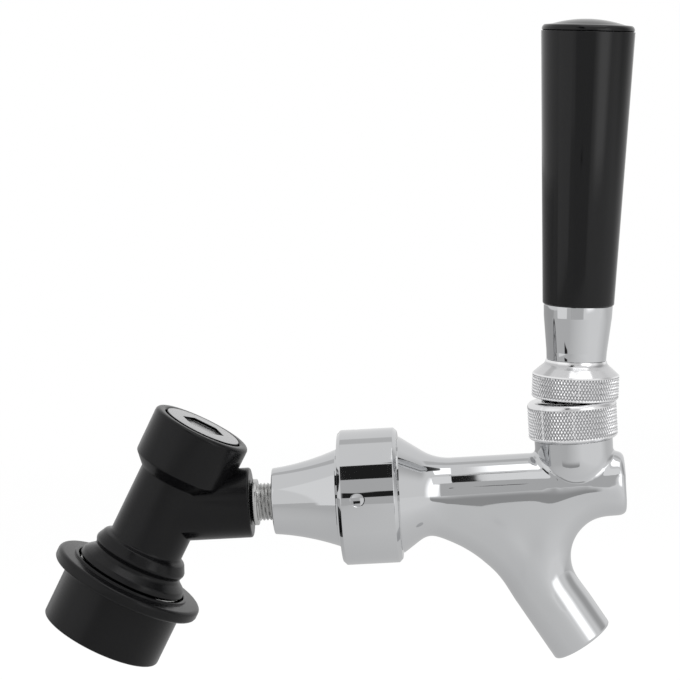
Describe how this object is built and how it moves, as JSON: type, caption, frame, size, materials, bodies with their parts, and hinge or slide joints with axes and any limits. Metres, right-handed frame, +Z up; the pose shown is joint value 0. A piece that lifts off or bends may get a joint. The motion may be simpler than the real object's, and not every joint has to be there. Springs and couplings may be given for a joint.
{
  "type": "beer faucet",
  "caption": "Draught beer faucet with a tilting lever handle, angled spout and coupling nut, joined by a threaded stud to a ball-lock keg disconnect.",
  "frame": {"origin": "on the keg disconnect's axis, in the middle of the bore that guides the keg post", "axes": "+Z up with the handle on top, +X along the faucet's body axis towards its front end and spout, +Y completes the right-handed frame"},
  "size_m": [0.1594, 0.04, 0.1627],
  "materials": {
    "chrome": "polished chrome plate",
    "chrome_knurled": "chrome plate over a diamond knurl",
    "stainless": "machined stainless steel",
    "seal_rubber": "black sealing rubber",
    "white_nylon": "natural nylon",
    "gloss_black": "gloss black moulding",
    "moulded_black": "satin black moulded plastic",
    "cap_grey": "satin grey metal"
  },
  "bodies": {
    "root": {"faucet_body": "chrome", "coupling_gasket": "seal_rubber", "adapter": "chrome", "nipple_washer": "white_nylon", "branch_nipple": "stainless", "ball_washer": "white_nylon", "ball_bushing": "white_nylon", "bonnet": "chrome_knurled", "disconnect_body": "moulded_black", "top_cap": "cap_grey", "cap_o_ring": "seal_rubber", "retaining_ring": "stainless", "poppet_spring": "stainless", "collar_spring": "stainless"},
    "lever": {"lever": "stainless", "lever_collar": "chrome_knurled", "handle_ferrule": "chrome", "handle_stud": "stainless", "handle_grip": "gloss_black", "handle_cap": "gloss_black"},
    "valve": {"valve_shaft": "stainless", "seat_washer": "seal_rubber", "seat_nut": "stainless"},
    "nut": {"coupling_nut": "chrome"},
    "poppet": {"poppet": "white_nylon", "poppet_o_ring": "seal_rubber"},
    "collar": {"release_collar": "moulded_black"},
    "ball_1": {"locking_ball_1": "stainless"},
    "ball_2": {"locking_ball_2": "stainless"},
    "ball_3": {"locking_ball_3": "stainless"},
    "ball_4": {"locking_ball_4": "stainless"}
  },
  "joints": [
    {"name": "lever_tilt", "type": "hinge", "parent": "root", "child": "lever", "pos_m": [0.11797, 0, 0.03348], "axis": [0, 1, 0], "range_deg": [0, 15]},
    {"name": "valve_slide", "type": "slide", "parent": "root", "child": "valve", "axis": [1, 0, 0], "range_m": [-0.0033, 0]},
    {"name": "coupling_nut_turn", "type": "hinge", "parent": "root", "child": "nut", "pos_m": [0.06527, 0, 0.02098], "axis": [1, 0, 0], "continuous": true},
    {"name": "release_collar_slide", "type": "slide", "parent": "root", "child": "collar", "axis": [0.4924, 0, 0.8704], "range_m": [0, 0.004], "stiffness_N_per_m": 600, "springref_m": -0.004, "deforming": ["collar_spring"]},
    {"name": "poppet_slide", "type": "slide", "parent": "root", "child": "poppet", "axis": [0.4924, 0, 0.8704], "range_m": [0, 0.003], "stiffness_N_per_m": 300, "springref_m": -0.003, "deforming": ["poppet_spring"]},
    {"name": "locking_ball_1_slide", "type": "slide", "parent": "root", "child": "ball_1", "axis": [0.6154, 0.7071, -0.3482], "range_m": [0, 0.0008]},
    {"name": "locking_ball_2_slide", "type": "slide", "parent": "root", "child": "ball_2", "axis": [-0.6154, 0.7071, 0.3482], "range_m": [0, 0.0008]},
    {"name": "locking_ball_3_slide", "type": "slide", "parent": "root", "child": "ball_3", "axis": [-0.6154, -0.7071, 0.3482], "range_m": [0, 0.0008]},
    {"name": "locking_ball_4_slide", "type": "slide", "parent": "root", "child": "ball_4", "axis": [0.6154, -0.7071, -0.3482], "range_m": [0, 0.0008]}
  ],
  "couplings": [
    {"joint": "valve_slide", "follows": "lever_tilt", "m_per_rad": -0.012169},
    {"joint": "locking_ball_1_slide", "follows": "release_collar_slide", "ratio": 0.2},
    {"joint": "locking_ball_2_slide", "follows": "release_collar_slide", "ratio": 0.2},
    {"joint": "locking_ball_3_slide", "follows": "release_collar_slide", "ratio": 0.2},
    {"joint": "locking_ball_4_slide", "follows": "release_collar_slide", "ratio": 0.2}
  ]
}
